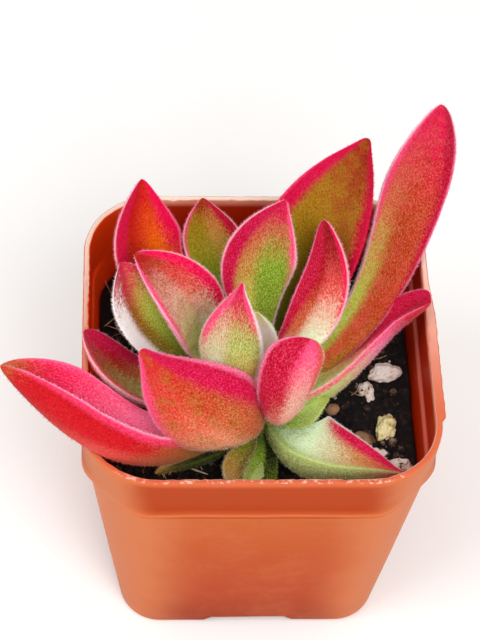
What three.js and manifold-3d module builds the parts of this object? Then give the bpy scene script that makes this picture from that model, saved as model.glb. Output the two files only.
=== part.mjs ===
// Potted ruby slippers echeveria in a small square nursery pot.
// Millimetres, +Z up. The origin is the middle of the pot's underside, and the pot stands on z = 0.
// The photographed side is -Y: the short stem leans back a little and its leaves spread all round.
import * as THREE from 'three';
import { mergeVertices } from 'three/addons/utils/BufferGeometryUtils.js';
import Module from 'manifold-3d';

const wasm = await Module();
wasm.setup();

// Driving dimensions of the pot
const potWidth = 60;
const potHeight = 60;
const potRimCorner = 12.5;
const potFootWidth = 47.2;
const potFootCorner = 7.5;
const potFootRound = 1.2;
const collarHeight = 11;
const collarStep = 0.5;
const collarDraft = 0.35;
const wall = 1.15;
const floorThickness = 3.2;
const footNotch = { width: 13.5, height: 2.4, depth: 7, slope: 1 };
const drainHole = { radius: 2.6, fromMiddle: 13.5 };
const rimLip = { reach: 0.7, height: 1.1, fromY: -17.5, toY: 12 };

// Driving dimensions of the soil, the stem and the gaps between pieces
const gap = 0.3;
const soilLevel = 45;
const soilRelief = 0.45;
const stemFoot = { x: 0.4, y: -10.9, z: 38 };
const stemTop = { x: -0.7, y: -9.0, z: 64.5 };
const stemRadius = 3;

// Corner arcs of every pot outline have this many steps
const cornerSteps = 5;

const finish = {
  pot: { color: 0xd4683f, roughness: 0.42 },
  soil: { color: 0x1d1613, roughness: 0.95 },
  perlite: { color: 0xe9e2d6, roughness: 0.8 },
  bark: { color: 0x8f6b4c, roughness: 0.85 },
  stem: { color: 0x5d7a2c, roughness: 0.7 },
  leaf: { color: 0xc2455a, roughness: 0.65 },
};

// Small helpers

function material(kind, color = finish[kind].color) {
  return new THREE.MeshStandardMaterial({ ...finish[kind], color, metalness: 0 });
}

function seededRandom(seed) {
  let state = seed;
  return () => {
    state = (state * 1664525 + 1013904223) % 4294967296;
    return state / 4294967296;
  };
}

function smooth(x) {
  const u = THREE.MathUtils.clamp(x, 0, 1);
  return u * u * (3 - 2 * u);
}

// Turns a closed geometry into a solid: shared points are merged and faces without area dropped
function solid(geometry) {
  const bare = geometry.clone();
  bare.deleteAttribute('normal');
  bare.deleteAttribute('uv');
  const welded = mergeVertices(bare, 1e-4);
  const index = welded.index.array;
  const faces = [];
  for (let i = 0; i < index.length; i += 3) {
    const [a, b, c] = [index[i], index[i + 1], index[i + 2]];
    if (a !== b && b !== c && c !== a) faces.push(a, b, c);
  }
  const points = welded.attributes.position.array;
  if (signedVolume(points, faces) < 0) faces.reverse();
  const mesh = new wasm.Mesh({
    numProp: 3,
    vertProperties: new Float32Array(points),
    triVerts: new Uint32Array(faces),
  });
  return new wasm.Manifold(mesh);
}

function signedVolume(points, faces) {
  const [a, b, c] = [new THREE.Vector3(), new THREE.Vector3(), new THREE.Vector3()];
  let volume = 0;
  for (let i = 0; i < faces.length; i += 3) {
    a.fromArray(points, 3 * faces[i]);
    b.fromArray(points, 3 * faces[i + 1]);
    c.fromArray(points, 3 * faces[i + 2]);
    volume += a.dot(b.cross(c)) / 6;
  }
  return volume;
}

// Keeps the largest body of a cut solid, so that no loose scrap is left beside it
function largest(body) {
  const pieces = body.decompose();
  return pieces.reduce((best, piece) => (piece.volume() > best.volume() ? piece : best));
}

function mesh(name, body, kind, color) {
  const { vertProperties, triVerts, numProp } = body.getMesh();
  const points = new Float32Array((vertProperties.length / numProp) * 3);
  for (let i = 0; i < points.length / 3; i += 1) {
    for (let k = 0; k < 3; k += 1) points[3 * i + k] = vertProperties[numProp * i + k];
  }
  const geometry = new THREE.BufferGeometry();
  geometry.setAttribute('position', new THREE.BufferAttribute(points, 3));
  geometry.setIndex(new THREE.BufferAttribute(new Uint32Array(triVerts), 1));
  geometry.computeVertexNormals();
  const piece = new THREE.Mesh(geometry, material(kind, color));
  piece.name = name;
  return piece;
}

function boxSolid(width, depth, height, x, y, z) {
  return solid(new THREE.BoxGeometry(width, depth, height).translate(x, y, z));
}

// Outline of a square with round corners, as points in order round it
function squareOutline(half, corner) {
  const points = [];
  for (let side = 0; side < 4; side += 1) {
    const turn = (side * Math.PI) / 2;
    const centre = new THREE.Vector2(half - corner, half - corner).rotateAround(new THREE.Vector2(), turn);
    for (let step = 0; step <= cornerSteps; step += 1) {
      const angle = turn + (step / cornerSteps) * (Math.PI / 2);
      points.push(new THREE.Vector2(Math.cos(angle), Math.sin(angle)).multiplyScalar(corner).add(centre));
    }
  }
  return points;
}

// Turned form whose rings are square outlines. Each ring of the profile is { half, corner, z }.
function squareTurned(rings, lift = () => 0) {
  const columns = 4 * (cornerSteps + 1);
  const blank = new THREE.LatheGeometry(rings.map((ring) => new THREE.Vector2(ring.half, ring.z)), columns);
  const position = blank.attributes.position;
  const outlines = rings.map((ring) => squareOutline(ring.half, ring.corner));
  for (let column = 0; column <= columns; column += 1) {
    rings.forEach((ring, row) => {
      const point = outlines[row][column % columns];
      const z = ring.z + (ring.relief ? ring.relief * lift(point.x, point.y) : 0);
      position.setXYZ(column * rings.length + row, point.x, point.y, z);
    });
  }
  return solid(blank);
}

// Outside of the pot at a height: half width and corner radius
function potOutside(z) {
  const share = z / potHeight;
  const collarFoot = potHeight - collarHeight;
  const corner = THREE.MathUtils.lerp(potFootCorner, potRimCorner, share);
  const bodyTop = potWidth / 2 - collarDraft - collarStep;
  if (z <= collarFoot) {
    return { half: THREE.MathUtils.lerp(potFootWidth / 2, bodyTop, z / collarFoot), corner };
  }
  const up = (z - collarFoot) / collarHeight;
  return { half: potWidth / 2 - collarDraft * (1 - up), corner };
}

function potInside(z, clear = 0) {
  const outside = potOutside(z);
  return { half: outside.half - wall - clear, corner: outside.corner - wall };
}

function makePot() {
  const collarFoot = potHeight - collarHeight;
  const stepRise = 0.4;
  const ledge = collarFoot + 1;
  const foot = potOutside(potFootRound);
  const rounding = [0, 0.3, 1].map((share) => {
    const inset = potFootRound * (1 - Math.sin((share * Math.PI) / 2));
    const z = potFootRound * (1 - Math.cos((share * Math.PI) / 2));
    return { half: foot.half - inset, corner: foot.corner - inset * 0.7, z };
  });
  const outer = [
    { half: 0, corner: 0, z: 0 },
    ...rounding,
    { ...potOutside(collarFoot - stepRise), z: collarFoot - stepRise },
    { ...potOutside(collarFoot + 0.01), z: collarFoot },
    { ...potOutside(potHeight), z: potHeight },
  ];
  const inner = [
    { ...potInside(potHeight), z: potHeight },
    { ...potInside(ledge + stepRise), z: ledge + stepRise },
    { half: potInside(collarFoot).half, corner: potInside(collarFoot).corner, z: ledge },
    { ...potInside(floorThickness + 2), z: floorThickness + 2 },
    { half: potInside(floorThickness).half - 1.6, corner: potFootCorner - 2, z: floorThickness },
    { half: 0, corner: 0, z: floorThickness },
  ];
  let pot = squareTurned([...outer, ...inner]);

  const lip = boxSolid(2 * rimLip.reach + wall / 2, rimLip.toY - rimLip.fromY, rimLip.height,
    potWidth / 2 - wall / 4, (rimLip.fromY + rimLip.toY) / 2, potHeight - rimLip.height / 2);
  pot = pot.add(lip);

  for (let side = 0; side < 4; side += 1) {
    const turn = new THREE.Matrix4().makeRotationZ((side * Math.PI) / 2);
    pot = pot.subtract(solid(notchWedge().applyMatrix4(turn)));
    const hole = new THREE.CylinderGeometry(drainHole.radius, drainHole.radius, 4 * floorThickness, 12);
    hole.rotateX(Math.PI / 2);
    hole.translate(drainHole.fromMiddle, 0, 0);
    pot = pot.subtract(solid(hole.applyMatrix4(turn)));
  }
  return mesh('pot', pot, 'pot');
}

// Low slot under the middle of each side, with sloping ends
function notchWedge() {
  const { width, height, depth, slope } = footNotch;
  const below = -1;
  const wide = width / 2 + slope * height;
  const outline = new THREE.Shape([
    new THREE.Vector2(-wide - slope, below),
    new THREE.Vector2(wide + slope, below),
    new THREE.Vector2(width / 2, height),
    new THREE.Vector2(-width / 2, height),
  ]);
  const wedge = new THREE.ExtrudeGeometry(outline, { depth: depth + 2, bevelEnabled: false });
  wedge.rotateX(Math.PI / 2);
  wedge.rotateZ(Math.PI / 2);
  return wedge.translate(potFootWidth / 2 - depth, 0, 0);
}

// Stem

function stemAxis(z) {
  const share = (z - stemFoot.z) / (stemTop.z - stemFoot.z);
  return new THREE.Vector3(
    THREE.MathUtils.lerp(stemFoot.x, stemTop.x, share),
    THREE.MathUtils.lerp(stemFoot.y, stemTop.y, share),
    z,
  );
}

function stemBody(grow = 0) {
  const top = stemTop.z;
  const profile = [
    [0, stemFoot.z - grow],
    [stemRadius - 0.5 + grow, stemFoot.z - grow],
    [stemRadius + grow, soilLevel + 1],
    [stemRadius + grow, top - 8],
    [stemRadius - 0.5 + grow, top - 5],
    [stemRadius - 1.5 + grow, top - 2.5],
    [stemRadius - 2.4 + grow, top - 0.5 + grow / 2],
    [0, top + grow],
  ];
  const blank = new THREE.LatheGeometry(profile.map(([r, z]) => new THREE.Vector2(r, z)), 14);
  const position = blank.attributes.position;
  for (let i = 0; i < position.count; i += 1) {
    const axis = stemAxis(position.getY(i));
    position.setXYZ(i, axis.x + position.getX(i), axis.y - position.getZ(i), position.getY(i));
  }
  return solid(blank);
}

// Leaves. Each one leaves the stem at the height z on its axis, on the side that `side` gives in
// degrees from +X, and its tip lies `length` away in the direction of heading and rise.
// roll turns it about its own length. bow and lean hold the middle away from the straight line,
// sweep and swing hold it sideways. neck is the width where it meets the stem, and widest the
// place of its full width. blunt is the radius of the rounded tip. folds raise the left and right
// halves into a channel.

const rootInStem = 1.6;
const leafRows = 14;
const leafColumns = 12;
const tipCrowding = 1.5;
const crease = 0.12;
const innerShare = 0.28;

const leaves = [
  // Crown, from the bud outward
  {
    name: 'leaf_bud', z: 61.4, side: 60, heading: 121, rise: 76.5, length: 12.5, roll: -37, bow: 0.04,
    width: 6.5, widest: 0.57, neck: 0.42, taper: 1, blunt: 0.5, foldLeft: 0.35, foldRight: 0.37,
    thick: 2.6, color: 0xd8dcae,
  },
  {
    name: 'leaf_back_inner', z: 60.8, side: 76, heading: 78.5, rise: 49.5, length: 29, roll: 6, bow: 0.14,
    lean: -0.03, sweep: -0.11, swing: 0.01, width: 13.5, widest: 0.63, neck: 0.28, taper: 0.98,
    blunt: 0.4, foldLeft: 0.58, foldRight: 0.1, thick: 3.6, color: 0xa0963c,
  },
  {
    name: 'leaf_center', z: 59.7, side: -139, heading: 116, rise: 77, length: 23, roll: 128, bow: 0.22,
    lean: -0.03, sweep: 0.03, width: 11, widest: 0.52, neck: 0.39, taper: 1.26, blunt: 0.4,
    foldLeft: 0.32, foldRight: 0.04, thick: 3.4, color: 0xcac48c,
  },
  {
    name: 'leaf_left_inner', z: 58.1, side: 166, heading: 148.5, rise: 42.5, length: 30.5, roll: -2,
    bow: 0.04, lean: -0.1, sweep: 0.04, swing: 0.02, width: 13, widest: 0.64, neck: 0.47, taper: 0.92,
    blunt: 0.7, foldLeft: 0.23, foldRight: 1.14, thick: 2.9, color: 0xc4806c,
  },
  {
    name: 'leaf_front_spoon', z: 58.1, side: -36, heading: -42.5, rise: 71, length: 24, roll: -45,
    bow: 0.28, lean: -0.03, sweep: 0.06, swing: -0.02, width: 10.5, widest: 0.83, neck: 0.4, taper: 0.66,
    blunt: 0.8, foldLeft: 0.23, foldRight: 0.49, thick: 3.5, color: 0xe0788a,
  },
  {
    name: 'leaf_back_left', z: 57.5, side: 141, heading: 127, rise: 38.5, length: 39, roll: -5, bow: 0.19,
    lean: -0.02, sweep: -0.1, swing: 0.05, width: 16, widest: 0.75, neck: 0.29, taper: 1.02, blunt: 1.15,
    foldLeft: 0.88, foldRight: 0.04, thick: 2.9, color: 0xd8301c,
  },
  {
    name: 'leaf_right_inner', z: 57.2, side: 37, heading: 62.5, rise: 48.5, length: 30, roll: 1,
    bow: 0.09, lean: 0.04, sweep: 0.11, swing: -0.01, width: 10, widest: 0.52, neck: 0.4, taper: 0.78,
    blunt: 0.85, foldLeft: 0.78, foldRight: 0.35, thick: 3.6, color: 0xd05c5c,
  },
  // Long leaves of the middle whorl
  {
    name: 'leaf_left', z: 54.5, side: 148, heading: 154, rise: 43.5, length: 33.5, roll: -20, bow: 0.075,
    lean: -0.035, sweep: -0.085, swing: 0.035, width: 14, widest: 0.81, neck: 0.3, taper: 1.06,
    blunt: 0.9, foldLeft: 0.66, foldRight: 0.48, thick: 2.9, color: 0xa8a05c,
  },
  {
    name: 'leaf_back_tall', z: 54, side: 38, heading: 63, rise: 36, length: 47, roll: -5, bow: 0.02,
    lean: -0.05, sweep: -0.05, swing: -0.02, width: 19.5, widest: 0.56, neck: 0.3, taper: 1.04,
    blunt: 0.85, foldLeft: 0.62, foldRight: 0.31, thick: 2.9, color: 0x94700e,
  },
  {
    name: 'leaf_back', z: 53.9, side: 120, heading: 105.5, rise: 26, length: 35, roll: -3, bow: 0.01,
    sweep: 0.04, swing: 0.04, width: 12.5, widest: 0.75, neck: 0.3, taper: 1.04, blunt: 0.7,
    foldLeft: 0.61, foldRight: 0.8, thick: 3.1, color: 0x76820a,
  },
  {
    name: 'leaf_small_right', z: 52.6, side: -17, heading: -11.5, rise: 31, length: 12, roll: 24,
    bow: 0.1, sweep: 0.14, swing: 0.02, width: 5.5, widest: 0.55, neck: 0.42, taper: 1.38, blunt: 0.45,
    foldLeft: 0.35, foldRight: 0.25, thick: 1.8, color: 0xaec060,
  },
  {
    name: 'leaf_front_left', z: 52.4, side: -132, heading: -161, rise: 54.5, length: 34.5, roll: 96,
    bow: 0.24, lean: -0.03, sweep: 0.01, swing: -0.02, width: 18, widest: 0.51, neck: 0.43, taper: 1.16,
    blunt: 0.85, foldLeft: 0.47, foldRight: 0.3, thick: 3.7, color: 0xd4603a,
  },
  {
    name: 'leaf_right', z: 52.1, side: 30, heading: 23, rise: 23.5, length: 33, roll: -29, bow: 0.05,
    lean: 0.02, sweep: 0.01, swing: 0.11, width: 10, widest: 0.62, neck: 0.42, taper: 0.26, blunt: 0.7,
    foldLeft: 0.38, foldRight: 0.57, thick: 3.6, color: 0xc05858,
  },
  {
    name: 'leaf_left_low', z: 51.7, side: 165, heading: 163, rise: 20, length: 31, roll: 24, bow: 0.14,
    lean: 0.01, sweep: -0.04, swing: 0.06, width: 13, widest: 0.64, neck: 0.42, taper: 0.6, blunt: 0.8,
    foldLeft: 0.26, foldRight: 0.27, thick: 3.3, color: 0x9a4a2c,
  },
  {
    name: 'leaf_right_tall', z: 51.5, side: 55, heading: 50, rise: 40, length: 59, roll: 28, bow: 0.15,
    lean: 0.12, sweep: 0.13, width: 12.5, widest: 0.76, neck: 0.29, taper: 0.7, blunt: 0.7,
    foldLeft: 0.49, foldRight: 0.1, thick: 3.9, color: 0xd85c3c,
  },
  // Lowest leaves, over the rim and on the soil
  {
    name: 'leaf_front_right', z: 50.4, side: -40, heading: -26, rise: 1, length: 25.5, roll: -14,
    bow: 0.12, lean: 0.01, sweep: 0.12, swing: 0.05, width: 18, widest: 0.39, neck: 0.2, taper: 1.22,
    blunt: 0.35, foldLeft: 0.93, foldRight: 1.2, thick: 4.1, color: 0xbcbc80,
  },
  {
    name: 'leaf_left_over_rim', z: 50.2, side: -171, heading: -173, rise: 28.5, length: 47, roll: 26,
    bow: 0.12, sweep: -0.18, width: 17, widest: 0.76, neck: 0.3, taper: 0.76, blunt: 1, foldLeft: 1.11,
    foldRight: 1.27, thick: 5, color: 0xdc1834,
  },
  {
    name: 'leaf_front_low', z: 49.2, side: -108, heading: -98, rise: -7.5, length: 13.5, roll: -22,
    bow: 0.1, sweep: 0.04, swing: -0.06, width: 8.5, widest: 0.71, neck: 0.3, taper: 1, blunt: 0.5,
    foldLeft: 0.55, foldRight: 0.44, thick: 2.5, color: 0x98885a,
  },
  {
    name: 'leaf_front_shaded', z: 48.5, side: -72, heading: -88.5, rise: -4, length: 15, roll: 14,
    bow: 0.06, swing: -0.04, width: 6, widest: 0.67, neck: 0.4, taper: 1, blunt: 0.5, foldLeft: 0.4,
    foldRight: 0.65, thick: 2.3, color: 0x485808,
  },
  {
    name: 'leaf_soil_left', z: 47.3, side: -141, heading: -149.5, rise: 3.5, length: 19, roll: 26,
    bow: 0.02, sweep: -0.03, swing: -0.02, width: 6, widest: 0.56, neck: 0.4, taper: 1, blunt: 0.5,
    foldLeft: 0.4, foldRight: 0.35, thick: 2.2, color: 0x74602c,
  },
];

function leafFrame(leaf) {
  const axis = stemAxis(leaf.z);
  const side = THREE.MathUtils.degToRad(leaf.side);
  const root = axis.add(new THREE.Vector3(Math.cos(side), Math.sin(side), 0).multiplyScalar(rootInStem));
  const heading = THREE.MathUtils.degToRad(leaf.heading);
  const rise = THREE.MathUtils.degToRad(leaf.rise);
  const roll = THREE.MathUtils.degToRad(leaf.roll);
  const chord = new THREE.Vector3(
    Math.cos(rise) * Math.cos(heading),
    Math.cos(rise) * Math.sin(heading),
    Math.sin(rise),
  );
  const upright = new THREE.Vector3(0, 0, 1).addScaledVector(chord, -chord.z).normalize();
  const face = upright.clone().applyAxisAngle(chord, roll);
  const across = new THREE.Vector3().crossVectors(chord, face);
  return { root, chord, face, across };
}

function leafCentre(leaf, frame, t) {
  const { bow, lean = 0, sweep = 0, swing = 0, length } = leaf;
  const half = Math.sin(Math.PI * t);
  const whole = Math.sin(2 * Math.PI * t);
  return frame.root.clone()
    .addScaledVector(frame.chord, length * t)
    .addScaledVector(frame.face, length * (lean * whole - bow * half))
    .addScaledVector(frame.across, length * (sweep * half + swing * whole));
}

function leafHalfWidth(leaf, t) {
  if (t < leaf.widest) return (leaf.width / 2) * (leaf.neck + (1 - leaf.neck) * smooth(t / leaf.widest));
  const past = (t - leaf.widest) / (1 - leaf.widest);
  const narrowing = (leaf.width / 2) * Math.max(1 - past * past, 0) ** leaf.taper;
  const toTip = leaf.length * (1 - t);
  return Math.sqrt(narrowing ** 2 + 2 * leaf.blunt * toTip * Math.exp(-toTip / (1.5 * leaf.blunt)));
}

function leafThickness(leaf, t) {
  return leaf.thick * Math.max(1 - t ** 3, 0) ** 0.55 * (0.8 + 0.2 * Math.sin(Math.PI * t));
}

// Point of a leaf's skin: t runs from root to tip, angle runs round the leaf
function leafPoint(leaf, frame, t, angle, grow) {
  const step = 1e-3;
  const centre = leafCentre(leaf, frame, t);
  const along = leafCentre(leaf, frame, t + step).sub(leafCentre(leaf, frame, t - step)).normalize();
  const face = frame.face.clone().addScaledVector(along, -along.dot(frame.face)).normalize();
  const across = new THREE.Vector3().crossVectors(along, face);
  const place = Math.cos(angle);
  const fold = place < 0 ? leaf.foldLeft : leaf.foldRight;
  const shorten = Math.sqrt(1 + fold * fold);
  const halfWidth = leafHalfWidth(leaf, t);
  const flat = Math.sqrt(crease);
  const raised = (Math.sqrt(place * place + crease) - flat) / (Math.sqrt(1 + crease) - flat);
  const plump = Math.sqrt(Math.max(1 - Math.abs(place) ** 2.6, 0));
  const inner = Math.sin(angle) > 0;
  const depth = leafThickness(leaf, t) * plump;
  const out = (inner ? innerShare : innerShare - 1) * depth + grow * Math.sin(angle);
  return centre
    .addScaledVector(across, (halfWidth * place) / shorten + grow * place)
    .addScaledVector(face, (halfWidth * fold * raised) / shorten + out);
}

function leafBody(leaf, grow = 0) {
  const frame = leafFrame(leaf);
  const blank = new THREE.SphereGeometry(1, leafColumns, leafRows);
  const position = blank.attributes.position;
  for (let row = 0; row <= leafRows; row += 1) {
    for (let column = 0; column <= leafColumns; column += 1) {
      const angle = (2 * Math.PI * (column % leafColumns)) / leafColumns;
      const t = 1 - (1 - Math.max(row - 1, 0) / (leafRows - 1)) ** tipCrowding;
      const end = row === 0 || row === leafRows;
      const point = end ? leafCentre(leaf, frame, t) : leafPoint(leaf, frame, t, angle, grow);
      if (row === leafRows) point.addScaledVector(frame.chord, grow);
      position.setXYZ(row * (leafColumns + 1) + column, point.x, point.y, point.z);
    }
  }
  return solid(blank);
}

// Each leaf stands clear of the stem and of the leaves above it, which are nearer the bud
function makeLeaves() {
  const stemRoom = stemBody(gap);
  const fromTheTop = [...leaves].sort((a, b) => b.z - a.z);
  return fromTheTop.map((leaf, place) => {
    let body = leafBody(leaf).subtract(stemRoom);
    fromTheTop.slice(0, place).forEach((upper) => {
      body = body.subtract(leafBody(upper, gap));
    });
    return mesh(leaf.name, largest(body), 'leaf', leaf.color);
  });
}

// Soil with its crumbs, and the perlite and bark that lie in it

const chips = [
  { name: 'perlite_right_back', kind: 'perlite', x: 23.2, y: 1.2, z: 46.1, size: [2.9, 1.7, 1.5], turn: 12 },
  {
    name: 'perlite_right_back_small', kind: 'perlite', x: 19.6, y: -2.2, z: 45.4, size: [1.3, 1.9, 1.2],
    turn: 20,
  },
  { name: 'perlite_cream', kind: 'perlite', x: 22.4, y: -10, z: 45.7, size: [1.8, 2.5, 1.6], turn: -14 },
  { name: 'perlite_right_front', kind: 'perlite', x: 24, y: -18, z: 45.7, size: [2.4, 1.4, 1.4], turn: 8 },
  {
    name: 'perlite_right_front_small', kind: 'perlite', x: 20.6, y: -14.9, z: 45.1, size: [1.5, 1.1, 0.9],
    turn: 0,
  },
  { name: 'bark_chip', kind: 'bark', x: 18.6, y: -12, z: 45.5, size: [2.0, 1.2, 0.8], turn: -28 },
  { name: 'bark_chip_small', kind: 'bark', x: 13.4, y: -5.8, z: 45.1, size: [1.2, 1.1, 0.8], turn: 30 },
];

function ripple(x, y) {
  return 0.6 * Math.sin(0.45 * x + 1.3) * Math.cos(0.38 * y - 0.4) + 0.4 * Math.sin(0.9 * x - 0.7 * y + 0.4);
}

function soilHeight(x, y) {
  return soilLevel + soilRelief * ripple(x, y);
}

function chipBody(chip, number, grow = 0) {
  const random = seededRandom(71 + number);
  const blank = new THREE.IcosahedronGeometry(1, 1);
  const position = mergeVerticesOf(blank);
  for (let i = 0; i < position.attributes.position.count; i += 1) {
    const point = new THREE.Vector3().fromBufferAttribute(position.attributes.position, i);
    point.multiplyScalar(0.84 + 0.26 * random());
    point.multiply(new THREE.Vector3(...chip.size).addScalar(grow));
    position.attributes.position.setXYZ(i, point.x, point.y, point.z);
  }
  position.rotateZ(THREE.MathUtils.degToRad(chip.turn));
  position.translate(chip.x, chip.y, chip.z);
  return solid(position);
}

function mergeVerticesOf(geometry) {
  geometry.deleteAttribute('normal');
  geometry.deleteAttribute('uv');
  return mergeVertices(geometry, 1e-4);
}

function soilCrumbs() {
  const random = seededRandom(2023);
  const crumbs = [];
  while (crumbs.length < 46) {
    const x = (random() - 0.5) * 48;
    const y = (random() - 0.5) * 48;
    const radius = 0.6 + 0.8 * random();
    const clearOfStem = Math.hypot(x - stemAxis(soilLevel).x, y - stemAxis(soilLevel).y) > stemRadius + 2.5;
    const clearOfChips = chips.every((chip) => (
      Math.hypot(x - chip.x, y - chip.y) > Math.max(...chip.size) + 1.6));
    if (clearOfStem && clearOfChips) {
      const crumb = new THREE.IcosahedronGeometry(radius, 0);
      crumb.rotateX(3 * random()).rotateZ(3 * random());
      crumb.scale(1, 0.8 + 0.5 * random(), 0.7);
      crumbs.push(solid(crumb.translate(x, y, soilHeight(x, y) - 0.15 * radius)));
    }
  }
  return crumbs;
}

function makeSoil() {
  const bottom = floorThickness + gap;
  const edge = (z) => potInside(z, gap);
  const top = edge(soilLevel);
  const rings = [
    { half: 0, corner: 0, z: bottom },
    { half: edge(bottom).half - 1.8, corner: potFootCorner - 2.5, z: bottom },
    { ...edge(bottom + 2.2), z: bottom + 2.2 },
    { ...top, z: soilLevel, relief: soilRelief },
  ];
  [0.84, 0.66, 0.48, 0.32, 0.17].forEach((share) => {
    rings.push({ half: top.half * share, corner: top.corner * share, z: soilLevel, relief: soilRelief });
  });
  rings.push({ half: 0, corner: 0, z: soilLevel, relief: soilRelief });
  let soil = squareTurned(rings, ripple);
  soilCrumbs().forEach((crumb) => {
    soil = soil.add(crumb);
  });
  chips.forEach((chip, number) => {
    soil = soil.subtract(chipBody(chip, number, gap));
  });
  return mesh('soil', largest(soil.subtract(stemBody(gap))), 'soil');
}

// The whole plant in its pot
const plant = new THREE.Group();
plant.add(makePot());
plant.add(makeSoil());
chips.forEach((chip, number) => plant.add(mesh(chip.name, chipBody(chip, number), chip.kind)));
plant.add(mesh('stem', stemBody(), 'stem'));
makeLeaves().forEach((leaf) => plant.add(leaf));

export default plant;
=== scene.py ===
from functools import partial
from math import copysign, cos, dist, pi, radians, sin

import bmesh
import bpy
import numpy as np
from mathutils import Matrix, Vector, noise


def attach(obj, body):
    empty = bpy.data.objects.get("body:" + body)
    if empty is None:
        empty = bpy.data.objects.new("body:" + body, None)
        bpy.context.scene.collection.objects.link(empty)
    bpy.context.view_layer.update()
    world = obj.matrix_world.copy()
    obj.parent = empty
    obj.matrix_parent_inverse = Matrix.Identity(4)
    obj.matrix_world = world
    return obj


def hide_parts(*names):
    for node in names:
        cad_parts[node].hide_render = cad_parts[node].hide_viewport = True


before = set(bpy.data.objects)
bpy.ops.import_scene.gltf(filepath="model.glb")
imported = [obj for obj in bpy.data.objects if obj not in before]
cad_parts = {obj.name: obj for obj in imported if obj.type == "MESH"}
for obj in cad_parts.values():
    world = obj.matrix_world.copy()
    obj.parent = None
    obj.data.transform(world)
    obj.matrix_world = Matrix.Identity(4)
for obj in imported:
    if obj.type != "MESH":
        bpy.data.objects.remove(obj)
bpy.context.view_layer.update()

# A young velvet-leaved echeveria in a small square nursery pot.
# Lengths are in millimetres here and turned to metres where a mesh is made. A pattern's scale is the
# number of its features on a millimetre, such as 5.6 / mm for hairs 0.18 mm apart.
mm = 0.001

# the nodes that the materials use: type, settings, input sockets and output socket
nodeKinds = {
    "place": ("TexCoord", {}, (), "Object"),
    "number": ("Attribute", {}, (), "Fac"),
    "vector": ("Attribute", {}, (), "Vector"),
    "axes": ("SeparateXYZ", {}, (0,), None),
    "join": ("CombineXYZ", {}, (0, 1, 2), 0),
    "step": ("MapRange", {"interpolation_type": "SMOOTHSTEP"},
             ("Value", "From Min", "From Max", "To Min", "To Max"), 0),
    "mix": ("Mix", {"data_type": "RGBA"}, (0, 6, 7), 2),
    "noise": ("TexNoise", {}, ("Vector", "Scale", "Detail", "Roughness"), "Fac"),
    "cells": ("TexVoronoi", {}, ("Vector", "Scale"), "Distance"),
    "ramp": ("ValToRGB", {}, ("Fac",), "Color"),
    "gamma": ("Gamma", {}, ("Color", "Gamma"), 0),
    "green": ("SeparateColor", {}, (0,), "Green"),
    "bump": ("Bump", {}, ("Height", "Strength", "Distance"), 0),
}


def hexColour(code):
    # sRGB hex to the linear colour that the shader sockets take
    values = [int(code[i:i + 2], 16) / 255 for i in (1, 3, 5)]
    return (*[v / 12.92 if v <= 0.04045 else ((v + 0.055) / 1.055) ** 2.4 for v in values], 1.0)


def setSocket(tree, socket, value):
    # the value is the output of another node, a hex colour or a plain number
    if isinstance(value, bpy.types.NodeSocket):
        tree.links.new(value, socket)
    else:
        socket.default_value = hexColour(value) if isinstance(value, str) else value


def addNode(tree, kind, *values, stops=(), **settings):
    # one node with its settings and links; a kind that isn't in the list is a calculation, and stops
    # are the (position, hex colour) of a ramp in rising order
    nodeType, fixed, inputs, output = nodeKinds.get(kind, ("Math", {"operation": kind}, (0, 1, 2), 0))
    node = tree.nodes.new("ShaderNode" + nodeType)
    for name, value in {**fixed, **settings}.items():
        setattr(node, name, value)
    for key, value in zip(inputs, values):
        setSocket(tree, node.inputs[key], value)
    if stops:
        elements = node.color_ramp.elements
        while len(elements) < len(stops):
            elements.new(0.5)
        for element, (position, code) in zip(elements, stops):
            element.position, element.color = position, hexColour(code)
    return node.outputs if output is None else node.outputs[output]


def newMaterial(name, finish):
    # a material whose shader takes the values of finish, and the function that adds its other nodes
    material = bpy.data.materials.new(name)
    material.use_nodes = True
    tree = material.node_tree
    for key, value in finish.items():
        setSocket(tree, tree.nodes["Principled BSDF"].inputs[key], value)
    return material, partial(addNode, tree)


def dress(material, colour, bump=()):
    # links the colour and, where there is one, the bump: its height, strength and depth
    tree = material.node_tree
    inputs = tree.nodes["Principled BSDF"].inputs
    setSocket(tree, inputs["Base Color"], colour)
    if bump:
        setSocket(tree, inputs["Normal"], addNode(tree, "bump", *bump))
    return material


def smooth(x):
    x = np.clip(x, 0, 1)
    return x * x * (3 - 2 * x)


def selectOnly(piece):
    bpy.ops.object.select_all(action="DESELECT")
    piece.select_set(True)
    bpy.context.view_layer.objects.active = piece


def addPrimitive(operator, **settings):
    bpy.ops.object.select_all(action="DESELECT")
    operator(**settings)
    return bpy.context.object


def newObject(name, data):
    thing = bpy.data.objects.new(name, data)
    bpy.context.scene.collection.objects.link(thing)
    return thing


def roundBlank(name, columns, rows):
    # a UV sphere with the row and column of each vertex, to be moved onto the real surface
    piece = addPrimitive(bpy.ops.mesh.primitive_uv_sphere_add, segments=columns, ring_count=rows, radius=1)
    piece.name = piece.data.name = name
    points = np.array([v.co for v in piece.data.vertices])
    # the primitive lists its edges and faces in another order each time, so they are put in one order
    blank = bmesh.new()
    blank.from_mesh(piece.data)
    for parts in (blank.edges, blank.faces):
        parts.sort(key=lambda part: sum(v * len(points) ** -k for k, v in
                                        enumerate(sorted(v.index for v in part.verts))))
    blank.to_mesh(piece.data)
    blank.free()
    row = np.rint(np.arccos(np.clip(points[:, 2], -1, 1)) / pi * rows).astype(int)
    column = np.rint(np.arctan2(points[:, 1], points[:, 0]) / (2 * pi) * columns).astype(int) % columns
    return piece, row, column


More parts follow.
